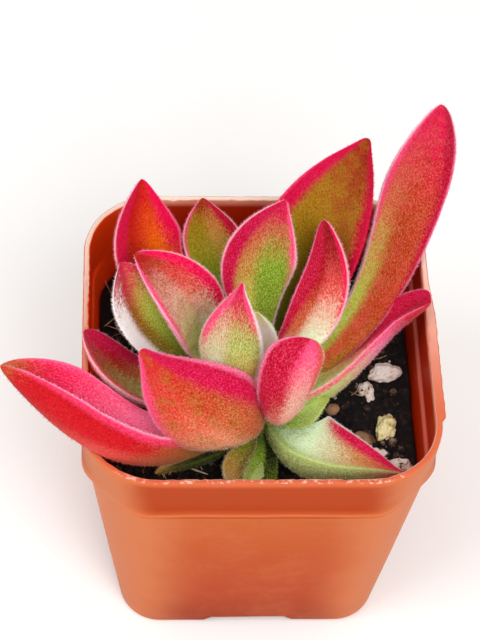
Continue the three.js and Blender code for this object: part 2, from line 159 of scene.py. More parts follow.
def setPoints(piece, points):
    # places the vertices, given in millimetres, and turns the faces outwards
    piece.data.vertices.foreach_set("co", (np.asarray(points) * mm).ravel())
    piece.data.update()
    selectOnly(piece)
    bpy.ops.object.mode_set(mode="EDIT")
    bpy.ops.mesh.select_all(action="SELECT")
    bpy.ops.mesh.normals_make_consistent(inside=False)
    bpy.ops.object.mode_set(mode="OBJECT")
    bpy.ops.object.shade_smooth()


def applyModifier(piece, kind, **settings):
    selectOnly(piece)
    modifier = piece.modifiers.new(kind.lower(), kind)
    for name, value in settings.items():
        setattr(modifier, name, value)
    bpy.ops.object.modifier_apply(modifier=modifier.name)


def meshPiece(name, points, faces):
    # many small copies of one modelled shape, gathered in one mesh
    mesh = bpy.data.meshes.new(name)
    mesh.from_pydata(np.asarray(points) * mm, [], faces)
    return newObject(name, mesh)


def keepOnPoints(piece, name, values):
    # a number or a vector for each vertex, which the material reads
    values = np.asarray(values, np.float32)
    kind, key = ("FLOAT", "value") if values.ndim == 1 else ("FLOAT_VECTOR", "vector")
    piece.data.attributes.new(name, kind, "POINT").data.foreach_set(key, values.ravel())


def settle(piece, material, slot, *nodes):
    # gives a finished piece its material and its body, and hides the imported nodes that it stands for
    piece.data.materials.clear()
    piece.data.materials.append(material)
    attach(piece, "root")
    if nodes:
        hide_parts(*nodes)


# camera, light and floor

cameraView = {
    "target": (-3.03, 4.15, 58.02),
    "distance": 362.9,
    "elevation": 54.44,
    "yaw": -5.13,
    "roll": 4.29,
    "lens": 118.74,     # on a 36 mm long side
}

studio = {              # in metres
    "lights": {
        "key": {"place": (-0.34, -0.20, 0.62), "size": 0.34, "power": 1.5},
        "fill": {"place": (0.10, -0.34, 0.50), "size": 0.3, "power": 1.8},
    },
    "aim": (0, 0, 0.06),
    "skyColour": "#ffffff",
    "skyStrength": 0.64,
    "floorSize": 6,
    "floorLevel": -0.0002,
    "floorColour": "#fbfaf8",
}


def makeCamera():
    elevation, yaw, roll = (radians(cameraView[k]) for k in ("elevation", "yaw", "roll"))
    level = cos(elevation)
    back = Vector((sin(yaw) * level, -cos(yaw) * level, sin(elevation)))
    place = (Vector(cameraView["target"]) + back * cameraView["distance"]) * mm
    right = Vector((0, 0, 1)).cross(back).normalized()
    turn = Matrix((right, back.cross(right), back)).transposed() @ Matrix.Rotation(roll, 3, "Z")
    data = bpy.data.cameras.new("camera")
    data.lens = cameraView["lens"]
    data.clip_start = 0.01
    camera = newObject("camera", data)
    camera.matrix_world = Matrix.Translation(place) @ turn.to_4x4()
    bpy.context.scene.camera = camera


def makeStudio():
    for name, box in studio["lights"].items():
        data = bpy.data.lights.new(name, "AREA")
        data.shape = "DISK"
        data.size = box["size"]
        data.energy = box["power"]
        light = newObject(name, data)
        light.location = box["place"]
        towards = Vector(studio["aim"]) - Vector(box["place"])
        light.rotation_euler = towards.to_track_quat("-Z", "Y").to_euler()
    world = bpy.data.worlds.new("paleSky")
    world.use_nodes = True
    sky = world.node_tree.nodes["Background"].inputs
    setSocket(world.node_tree, sky["Color"], studio["skyColour"])
    setSocket(world.node_tree, sky["Strength"], studio["skyStrength"])
    bpy.context.scene.world = world
    bpy.context.scene.view_settings.view_transform = "Standard"
    floor = addPrimitive(bpy.ops.mesh.primitive_plane_add, size=studio["floorSize"],
                         location=(0, 0, studio["floorLevel"]))
    floor.name = "floor"
    material, add = newMaterial("paleFloor", {"Roughness": 0.9, "IOR": 1.45})
    floor.data.materials.append(dress(material, studio["floorColour"]))


makeCamera()
makeStudio()
print("camera, light and floor are set")


potShape = {
    "width": 60.0,
    "height": 60.0,
    "rimCorner": 12.5,
    "footWidth": 47.2,
    "footCorner": 7.5,
    "footRound": 1.2,
    "collarFoot": 49.0,
    "ledge": 50.2,          # the collar's step on the inner side
    "bodyTop": 58.3,        # width of the body just under the collar
    "collar": ((49.0, 60.1), (50.3, 59.9), (52.0, 59.5), (59.0, 59.9), (60.0, 60.0)),   # height and width
    "wall": 1.15,
    "floor": 3.2,
    "steps": (14, 54),      # columns round a corner and along a side
    "warp": 0.06,
    "ragged": {"height": 0.1, "rim": 0.05, "lip": -0.16},
    "nick": {"from": 0.28, "depth": 1.1, "outward": 0.5},
    "notch": {"width": 13.5, "height": 2.4, "depth": 7.0},
    "drain": {"radius": 2.6, "fromMiddle": 13.5},
    "lip": {"reach": 0.7, "fromX": 29.0, "fromY": -17.5, "toY": 12.0, "fade": 9.0},
}


def squarePoint(half, corner, column, steps):
    # point of a round-cornered square outline, and how far it is from the middle of a corner (0 to 1)
    cornerSteps, sideSteps = steps
    side, step = divmod(column, cornerSteps + sideSteps)
    turn = side * pi / 2
    if step <= cornerSteps:
        angle = step / cornerSteps * pi / 2
        x, y = half - corner + corner * cos(angle), half - corner + corner * sin(angle)
        straight = abs(2 * step / cornerSteps - 1)
    else:
        x, y = (half - corner) * (1 - 2 * (step - cornerSteps) / sideSteps), half
        straight = 1.0
    return x * cos(turn) - y * sin(turn), x * sin(turn) + y * cos(turn), straight


def potPoint(column, z, inset, steps, onCollar):
    # point of the pot's outline at a height: the corners flare evenly, the sides have a body and a collar
    shape = potShape
    up = z / shape["height"]
    corner = shape["footCorner"] + (shape["rimCorner"] - shape["footCorner"]) * up
    even = (shape["footWidth"] + (shape["width"] - shape["footWidth"]) * up) / 2
    if onCollar:
        side = np.interp(z, *zip(*shape["collar"])) / 2
    else:
        side = (shape["footWidth"] + (shape["bodyTop"] - shape["footWidth"]) * z / shape["collarFoot"]) / 2
    x, y, straight = squarePoint(side - inset, max(corner - inset, 1.5), column, steps)
    cornerX, cornerY, _ = squarePoint(even - inset, max(corner - inset, 1.5), column, steps)
    flat = smooth(straight)
    return x * flat + cornerX * (1 - flat), y * flat + cornerY * (1 - flat)


def potRings():
    # inset, height and part of each ring, from the underside over the rim to the floor
    foot, wall, floor = (potShape[k] for k in ("footRound", "wall", "floor"))
    rings = [(foot * (1 - sin(k * pi / 10)), foot * (1 - cos(k * pi / 10)), "outside")
             for k in range(6)]
    rings += [(0, z, "outside") for z in (5, 12, 20, 28, 36, 43, 47, 48.6, 48.95)]
    rings += [(0, z, "outside") for z in (49.05, 49.3, 50.3, 51.2, 52, 54, 56.5, 58.8)]
    rings += [(0, 59.6, "rim"), (0.1, 59.88, "rim"), (0.3, 60, "rim")]
    rings += [(wall - 0.3, 59.98, "lip"), (wall - 0.07, 59.86, "lip")]
    rings += [(wall, z, "inside") for z in (59.5, 58, 55, 52.5, 50.9)]
    rings += [(wall + 0.1, 50.3, "inside"), (wall - 0.1, 50.05, "inside")]
    rings += [(wall, z, "inside") for z in (49.7, 44, 34, 20, 8, floor + 2)]
    return rings + [(wall + 1.6, floor, "inside")]


def makePot():
    shape = potShape
    rings = potRings()
    ragged, nicked, lip, notch = (shape[k] for k in ("ragged", "nick", "lip", "notch"))
    pot, row, column = roundBlank("pot_moulded", 4 * sum(shape["steps"]), len(rings) + 1)
    points = np.zeros((len(row), 3))
    for i, (r, c) in enumerate(zip(row, column)):
        if r in (0, len(rings) + 1):
            points[i] = (0, 0, 0 if r == 0 else shape["floor"])
            continue
        inset, z, part = rings[r - 1]
        onCollar = z > shape["ledge" if part == "inside" else "collarFoot"]
        x, y = potPoint(c, z, inset, shape["steps"], onCollar)
        place = Vector((x, y, z))
        outward = Vector((x, y, 0)).normalized()
        if part in ("rim", "lip"):
            # trimmed edge of the moulding, ragged and nicked on its inner side
            jag = noise.noise(Vector((x, y, 3)) * 0.55) + 0.6 * noise.noise(Vector((x, y, 9)) * 1.9)
            nick = max(0, noise.noise(Vector((x, y, 30)) * 0.8) - nicked["from"]) if part == "lip" else 0
            place.z += ragged["height"] * jag - nicked["depth"] * nick
            sway = ragged[part] * noise.noise(Vector((x, y, 20)) * 1.2)
            place += outward * (sway + nicked["outward"] * nick)
        if part == "rim" and x > lip["fromX"] and lip["fromY"] < y < lip["toY"]:
            uneven = 0.9 + 0.25 * noise.noise(Vector((0, y, 5)) * 0.6)
            place.x += lip["reach"] * uneven * smooth((lip["toY"] - y) / lip["fade"])
        place += outward * shape["warp"] * noise.noise(Vector((x, y, z)) * 0.09)
        points[i] = place
    setPoints(pot, points)

    cutters = []
    for side in range(4):
        turn = Matrix.Rotation(side * pi / 2, 4, "Z")
        wedge = addPrimitive(bpy.ops.mesh.primitive_cube_add, size=1)
        for corner in wedge.data.vertices:
            low = corner.co.z < 0
            x = shape["footWidth"] / 2 + (2 if corner.co.x > 0 else -notch["depth"])
            y = copysign(notch["width"] / 2 + (notch["height"] + 1 if low else 0), corner.co.y)
            corner.co = turn @ (Vector((x, y, -1 if low else notch["height"])) * mm)
        hole = addPrimitive(bpy.ops.mesh.primitive_cylinder_add, vertices=32,
                            radius=shape["drain"]["radius"] * mm, depth=8 * mm)
        hole.data.transform(turn @ Matrix.Translation(Vector((shape["drain"]["fromMiddle"], 0, 0)) * mm))
        cutters += [wedge, hole]
    for cutter in cutters:
        applyModifier(pot, "BOOLEAN", operation="DIFFERENCE", object=cutter, solver="EXACT")
        bpy.data.objects.remove(cutter)
    # which way the wall faces, 1 outwards and -1 inwards, for the plastic's colours, its painted shade
    # inside and its painted highlight on the rim's top
    facing = []
    for vertex in pot.data.vertices:
        outward = Vector((vertex.co.x, vertex.co.y, 0)).normalized()
        facing.append(max(-1, min(1, 2 * vertex.normal.dot(outward))))
    keepOnPoints(pot, "wallFacing", facing)
    selectOnly(pot)
    bpy.ops.object.shade_smooth_by_angle(angle=radians(38))
    return pot


def potPlastic():
    # terracotta-coloured polypropylene, thin and injection moulded: a slightly waxy skin, cloudy on the
    # body, which is paler
    #  than the collar: painted shade deepens the collar's upright face, and painted highlight makes the
    #      corners and the rim paler
    material, add = newMaterial("mouldedPolypropylene", {
        "Roughness": 0.45, "IOR": 1.49, "Specular IOR Level": 0.08,
        "Subsurface Weight": 0.35, "Subsurface Radius": (1.0, 0.2, 0.08), "Subsurface Scale": 0.003})
    place = add("place")
    spot = add("axes", place)
    facing = add("number", attribute_name="wallFacing")
    height = add("MULTIPLY", spot["Z"], 1 / (potShape["height"] * mm))
    cloud = add("SUBTRACT", add("noise", place, 0.055 / mm, 4.0, 0.55), 0.5)
    # darker towards the foot; at the collar's step a dark line of painted shade under the overhang and a
    # pale stripe of painted highlight on its flare, then the collar's upright face in painted shade, and a
    # paler outer rim of painted highlight
    outside = add("ramp", add("MULTIPLY_ADD", cloud, 0.02, height), stops=[
        (0.0, "#8c2800"), (0.06, "#982e00"), (0.2, "#aa3a00"), (0.45, "#b44404"), (0.8, "#c05818"),
        (0.815, "#c06028"), (0.822, "#903000"), (0.83, "#d07040"), (0.84, "#b84c1c"), (0.86, "#a83800"),
        (0.975, "#ac3c00"), (0.995, "#c8643c")])
    # painted highlight: the corners are paler, on the collar and the body, for the light that their sloped
    # faces catch
    away = add("MINIMUM", *[add("ABSOLUTE", spot[axis]) for axis in "XY"])
    away = add("MULTIPLY_ADD", cloud, 0.008, away)
    corner = add("mix", add("step", height, 0.8, 0.85), add("step", away, 0.009, 0.021),
                 add("step", away, 0.017, 0.0245))
    outside = add("mix", add("MULTIPLY", corner, 0.85), outside, "#cc7242")
    patch = add("step", add("noise", place, 0.12 / mm, 6.0, 0.7), 0.42, 0.72, 0.0, 0.3)
    patch = add("MULTIPLY", patch, add("step", height, 0.84, 0.8))
    outside = add("mix", patch, outside, "#cc6c40")
    # painted shade: the inner wall is darker and redder than the outside, darkest low down, with a pale line
    # of painted highlight on the ledge's edge and a painted highlight on the lip
    inside = add("ramp", height, stops=[
        (0.5, "#7c1400"), (0.78, "#a82400"), (0.825, "#b42c0c"), (0.835, "#d06c5c"), (0.85, "#b82800"),
        (0.97, "#bc2c08"), (0.99, "#e09880")])
    # painted light: the wall faces the light on the left, and there it is painted bright orange for the
    # light that falls on it and passes through
    inside = add("mix", add("step", spot["X"], -0.018, -0.026), inside, "#f84c10")
    colour = add("mix", add("step", facing, -0.9, -0.5, 1.0, 0.0), outside, inside)
    # painted highlight: the top of the rim is paler, almost white towards the back where the light falls on
    # it, and at the front it has pale flecks that are partly the trimmed edge's burr and partly painted
    # highlight
    top = add("MULTIPLY", add("step", height, 0.985, 0.995), add("step", add("ABSOLUTE", facing), 0.9, 0.5))
    burrAndGlint = add("step", add("noise", place, 1.1 / mm, 3.0, 0.6), 0.5, 0.62, 0.0, 0.5)
    burrAndGlint = add("MULTIPLY", burrAndGlint, add("step", spot["Y"], -0.027, -0.0285))
    rimHighlightAndBurr = add("MAXIMUM", add("step", spot["Y"], -0.02, 0.03), burrAndGlint)
    colour = add("mix", top, colour, add("mix", rimHighlightAndBurr, "#cc6848", "#fcdccc"))
    return dress(material, colour, (add("noise", place, 0.9 / mm, 3.0, 0.5), 0.12, 0.2 * mm))


settle(makePot(), potPlastic(), "pot", "pot")
print("pot is moulded")


# soil with its crumbs, fibres and white grains

soilShape = {
    "level": 45.0,
    "relief": 0.45,
    "rough": 0.7,
    "clear": 0.3,                               # between the peat and the wall
    "wallRings": (3.5, 5.7, 20.0, 38.0),        # heights
    "footInset": 1.8,
    "steps": (12, 12),
    "topRings": 44,
    "stemPlace": (-0.1, -10.5),
    "seed": 11,
}

lumpShape = {
    "crumbs": {"count": 1900, "sizes": (0.26, 1.05)},
    "specks": {"count": 90, "sizes": (0.12, 0.5)},
    "spread": 25.0,
    "flatten": 0.75,
    "keepOff": 3.4,         # from the middle of the stem
    "rough": 0.42,
    "tilt": 0.7,
    "lift": 0.35,
}

fibreShape = {
    "count": 110,
    "steps": 7,
    "corner": ((-25, 8), (-17, 24)),            # every fourth one lies at the back left
    "anywhere": ((-24, -24), (24, 24)),
    "wall": 26.4,
    "length": (2.0, 6.5),
    "width": (0.07, 0.2),
    "bend": 0.9,
    "lift": (0.2, 0.45),                        # elsewhere and in the corner
}

chips = {
    "perlite_right_back": dict(place=(23.2, 1.2, 46.1), size=(2.9, 1.7, 1.5), turn=12),
    "perlite_right_back_small": dict(place=(19.6, -2.2, 45.4), size=(1.3, 1.9, 1.2), turn=20),
    "perlite_cream": dict(place=(22.4, -10.0, 45.7), size=(1.8, 2.5, 1.6), turn=-14),
    "perlite_right_front": dict(place=(24.0, -18.0, 45.7), size=(2.4, 1.4, 1.4), turn=8),
    "perlite_right_front_small": dict(place=(20.6, -14.9, 45.1), size=(1.5, 1.1, 0.9), turn=0),
    "bark_chip": dict(place=(18.6, -12.0, 45.5), size=(2.0, 1.2, 0.8), turn=-28),
    "bark_chip_small": dict(place=(13.4, -5.8, 45.1), size=(1.2, 1.1, 0.8), turn=30),
}


def soilHeight(x, y):
    ripple = 0.6 * sin(0.45 * x + 1.3) * cos(0.38 * y - 0.4)
    ripple += 0.4 * sin(0.9 * x - 0.7 * y + 0.4)
    return soilShape["level"] + soilShape["relief"] * ripple


def makeSoil():
    # each ring has an inset, a height and its share of the way out from the middle of the rough top
    shape = soilShape
    wall, heights = potShape["wall"] + shape["clear"], shape["wallRings"]
    rings = [(wall + (shape["footInset"] if z == heights[0] else 0), z, 1.0) for z in heights]
    rings += [(wall, shape["level"], 1 - k / shape["topRings"]) for k in range(shape["topRings"])]
    soil, row, column = roundBlank("soil_peat", 4 * sum(shape["steps"]), len(rings) + 1)
    points = np.zeros((len(row), 3))
    for i, (r, c) in enumerate(zip(row, column)):
        if r == 0:
            points[i] = (0, 0, heights[0])
            continue
        inset, z, share = rings[min(r, len(rings)) - 1]
        x, y = potPoint(c, z, inset, shape["steps"], False)
        share *= r <= len(rings)
        x, y = x * share, y * share
        if r > len(heights):
            z = soilHeight(x, y) + shape["rough"] * noise.fractal(Vector((x, y, 0)) * 0.55, 0.9, 2.1, 4)
        points[i] = (x, y, z)
    setPoints(soil, points)
    return soil


def lumpCopies(name, kind, random):
    # irregular crumbs on the soil, all drawn from one roughly round lump; each has a tone from dark to pale
    setting, (small, large) = lumpShape, lumpShape[kind]["sizes"]
    lump = addPrimitive(bpy.ops.mesh.primitive_ico_sphere_add, subdivisions=2, radius=1)
    shape = np.array([v.co for v in lump.data.vertices])
    faces = np.array([p.vertices[:] for p in lump.data.polygons])
    bpy.data.objects.remove(lump)
    points, allFaces, tones = [], [], []
    while len(points) < setting[kind]["count"]:
        x, y = random.uniform(-setting["spread"], setting["spread"], 2)
        if dist((x, y), soilShape["stemPlace"]) < setting["keepOff"]:
            continue
        size = small + (large - small) * random.random() ** 2.5
        squeeze = np.array([1, random.uniform(0.55, 1), setting["flatten"] * random.uniform(0.6, 1)])
        offset = random.uniform(0, 90, 3)
        rough = np.array([1 + setting["rough"] * noise.noise(Vector(p * 1.7 + offset)) for p in shape])
        turn = Matrix.Rotation(random.uniform(0, 6.28), 3, "Z")
        turn = turn @ Matrix.Rotation(random.uniform(-setting["tilt"], setting["tilt"]), 3, "X")
        body = (shape * rough[:, None] * squeeze * size) @ np.array(turn).T
        allFaces.append(faces + len(points) * len(shape))
        points.append(body + (x, y, soilHeight(x, y) + setting["lift"] * size))
        tones.append(np.full(len(shape), random.random() ** 2))
    piece = meshPiece(name, np.concatenate(points), np.concatenate(allFaces).tolist())
    keepOnPoints(piece, "crumbTone", np.concatenate(tones))
    return piece


def fibreCopies(name, random):
    # bent strands of straw and root, drawn from one thin four-sided rod
    shape = fibreShape
    steps, wall, points, allFaces = shape["steps"], shape["wall"], [], []
    for number in range(shape["count"]):
        inCorner = number % 4 == 0
        x, y = random.uniform(*shape["corner" if inCorner else "anywhere"])
        heading, length = random.uniform(0, 6.28), random.uniform(*shape["length"])
        bend, width = random.uniform(-shape["bend"], shape["bend"]), random.uniform(*shape["width"])
        lift = random.uniform(0, shape["lift"][inCorner])
        base = len(points)
        for k in range(steps):
            share = k / (steps - 1)
            direction = heading + bend * share
            x += cos(direction) * length / steps
            y += sin(direction) * length / steps
            x, y = max(-wall, min(wall, x)), max(-wall, min(wall, y))
            z = soilHeight(x, y) + 0.3 + lift * length * share * 0.6
            thin = width * (1 - 0.6 * abs(2 * share - 1))
            for corner in range(4):
                angle = pi / 2 * corner
                points.append((x - sin(direction) * thin * cos(angle),
                               y + cos(direction) * thin * cos(angle), z + thin * sin(angle)))
        for k in range(steps - 1):
            for corner in range(4):
                a, b = base + 4 * k + corner, base + 4 * k + (corner + 1) % 4
                allFaces.append((a, b, b + 4, a + 4))
        allFaces += [(base + 3, base + 2, base + 1, base), tuple(range(len(points) - 4, len(points)))]
    return meshPiece(name, points, allFaces)


def makeChip(name, chip, number):
    # a popped white grain with soft lobes, or a flat flake of bark
    piece = addPrimitive(bpy.ops.mesh.primitive_ico_sphere_add, subdivisions=5, radius=1)
    piece.name = piece.data.name = name + "_grain"
    points = []
    turn = Matrix.Rotation(radians(chip["turn"]), 3, "Z")
    popped = name.startswith("perlite")
    for v in piece.data.vertices:
        p = v.co.copy()
        lobes = noise.noise(p * 1.25 + Vector((number * 7, 3, 1)))
        lobes += 0.4 * noise.noise(p * 2.9 + Vector((2, number * 5, 8)))
        fine = noise.noise(p * (7 if popped else 11) + Vector((number, 9, 4)))
        p *= 0.97 + (0.4 * lobes + 0.04 * fine if popped else 0.22 * lobes + 0.09 * fine)
        points.append(turn @ Vector(a * b for a, b in zip(p, chip["size"])) + Vector(chip["place"]))
    setPoints(piece, points)
    return piece


def peatMix():
    # damp peat: nearly black crumbs of broken fibre, brown where they have dried
    material, add = newMaterial("dampPeat", {"Roughness": 0.92, "IOR": 1.4})
    place = add("place")
    tone = add("number", attribute_name="crumbTone")
    mottle = add("noise", place, 0.8 / mm, 8.0, 0.7)
    colour = add("ramp", add("MULTIPLY_ADD", tone, 0.24, mottle), stops=[
        (0.36, "#050303"), (0.52, "#120b0a"), (0.63, "#30211b"), (0.74, "#6c5244"), (0.86, "#b49c80")])
    return dress(material, colour, (add("noise", place, 1.5 / mm, 8.0, 0.75), 0.8, 0.5 * mm))


def perliteGrain(name, pale, stained):
    # expanded perlite: chalky froth of volcanic glass with pores, stained where it touches the peat
    material, add = newMaterial(name, {"Roughness": 0.85, "IOR": 1.5})
    place = add("place")
    colour = add("ramp", add("noise", place, 0.65 / mm, 6.0, 0.6), stops=[
        (0.3, "#2c1c14"), (0.34, "#6d4c38"), (0.39, stained), (0.5, pale)])
    return dress(material, colour, (add("cells", place, 2.2 / mm), 0.4, 0.3 * mm))


def dryPlantMatter(name, dark, pale):
    # dry bark and straw: matt, streaked brown to tan
    material, add = newMaterial(name, {"Roughness": 0.85, "IOR": 1.45})
    streak = add("noise", add("place"), 0.3 / mm, 6.0, 0.5)
    return dress(material, add("ramp", streak, stops=[(0.4, dark), (0.62, pale)]))


soilRandom = np.random.default_rng(soilShape["seed"])
peat = peatMix()
whiteGrain = perliteGrain("expandedPerlite", "#f4e8de", "#dcc0ac")
creamGrain = perliteGrain("stainedPerlite", "#e6dca4", "#b8a860")
barkChip = dryPlantMatter("weatheredBark", "#5f3d28", "#b08760")
straw = dryPlantMatter("dryStraw", "#80623e", "#e4d2a8")
settle(makeSoil(), peat, "soil", "soil")
settle(lumpCopies("soil_crumbs", "crumbs", soilRandom), peat, "soil")
settle(lumpCopies("soil_white_specks", "specks", soilRandom), whiteGrain, "perlite")
settle(fibreCopies("soil_fibres", soilRandom), straw, "bark")
for number, (name, chip) in enumerate(chips.items()):
    slot = name.split("_")[0]
    grain = creamGrain if name == "perlite_cream" else {"perlite": whiteGrain, "bark": barkChip}[slot]
    settle(makeChip(name, chip, number), grain, slot, name)
print("soil is filled in")


stemShape = dict(foot=(0.4, -10.9, 38.0), top=(-0.7, -9.0, 64.5), radius=3.0, rows=30, columns=24)


def stemAxis(z):
    foot, top = (np.array(stemShape[k]) for k in ("foot", "top"))
    return foot + (top - foot) * ((z - foot[2]) / (top[2] - foot[2]))


def makeStem():
    shape = stemShape
    low, high = shape["foot"][2], shape["top"][2]
    stem, row, column = roundBlank("stem_fleshy", shape["columns"], shape["rows"])
    points = []
    for r, c in zip(row, column):
        z = low + (high - low) * r / shape["rows"]
        narrowing = smooth((high - z) / 7)
        radius = 0 if r in (0, shape["rows"]) else shape["radius"] * (0.25 + 0.75 * narrowing)
        angle = 2 * pi * c / shape["columns"]
        radius *= 1 + 0.06 * sin(3 * angle + z)
        points.append(stemAxis(z) + np.array((radius * cos(angle), radius * sin(angle), 0)))
    setPoints(stem, points)
    return stem


def stemSkin():
    # fleshy young stem: pale green with a downy bloom
    material, add = newMaterial("greenStem", {
        "Roughness": 0.6, "IOR": 1.42, "Sheen Weight": 0.3, "Sheen Tint": "#eef4dc", "Sheen Roughness": 0.4})
    mottle = add("noise", add("place"), 0.35 / mm, 4.0, 0.5)
    return dress(material, add("ramp", mottle, stops=[(0.35, "#4d5a1c"), (0.65, "#8c9a4a")]))


settle(makeStem(), stemSkin(), "stem", "stem")


# leaves
# Each leaf leaves the stem at the height z on its axis, on the side given in degrees from +X. Its tip
# lies `length` away in the direction of heading and rise, and roll turns it about its own length.
# bow and lean hold the middle off the straight line, sweep and swing hold it sideways, neck is the
# width where it meets the stem, widest the place of its full width, taper and blunt shape the tip, and
# the folds raise the left and right halves into a channel.
# Colours go from the base over two places on the left and the right half to the tip, at the three
# stops. A band lies inside the left or the right margin: its colour, its share of the half width,
# where it starts, and where it ends if it stops short of the tip. The outermost line of each margin
# has a colour of its own, on most leaves pale: partly the denser hairs there and partly painted sheen,
# the glow of hairs seen edge-on at the outline. A crease is a line down the middle: its colour,
# strength and reach to the sides. Blotches have a colour and a strength, and past driedFrom the skin
# is tan. velvet is how much the white hairs show, and outer gives the colours of the back where they
# differ.

# the nearly black green at the head of the palette is painted shade, for leaves and hollows that lie in deep
# shade
leafPalette = dict(
    shadeGreen="#1a2804", moss="#44520a", fern="#66780e", grass="#80a020", olive="#767c0c", lime="#aec044",
    celery="#c2d878", mint="#dcf0c8", sage="#a2ae58", khaki="#9c8e40", straw="#dcce80", cream="#d2cea8",
    ivory="#f4e8d6", frost="#f8f6f4", sand="#cab88a", ochre="#a0800c", bronze="#9c6414", umber="#6a3c08",
    gold="#cc9a46", tan="#c07a3c", apricot="#e0ae7c", buff="#d49e88", peach="#f49c88", orange="#f07204",
    clay="#c8683c", rust="#a04c08", russet="#b84018", vermilion="#c82a04", coral="#da4c44", brick="#d04830",
    garnet="#a80404", wine="#980412", carmine="#b80630", scarlet="#c80818", crimson="#c80440",
    ruby="#e00448", rose="#f04476", pink="#fa82ac", blush="#f8bccc")

leafSurface = dict(rows=44, columns=24, crowding=1.6, rootInStem=1.6, crease=0.12, innerShare=0.28)

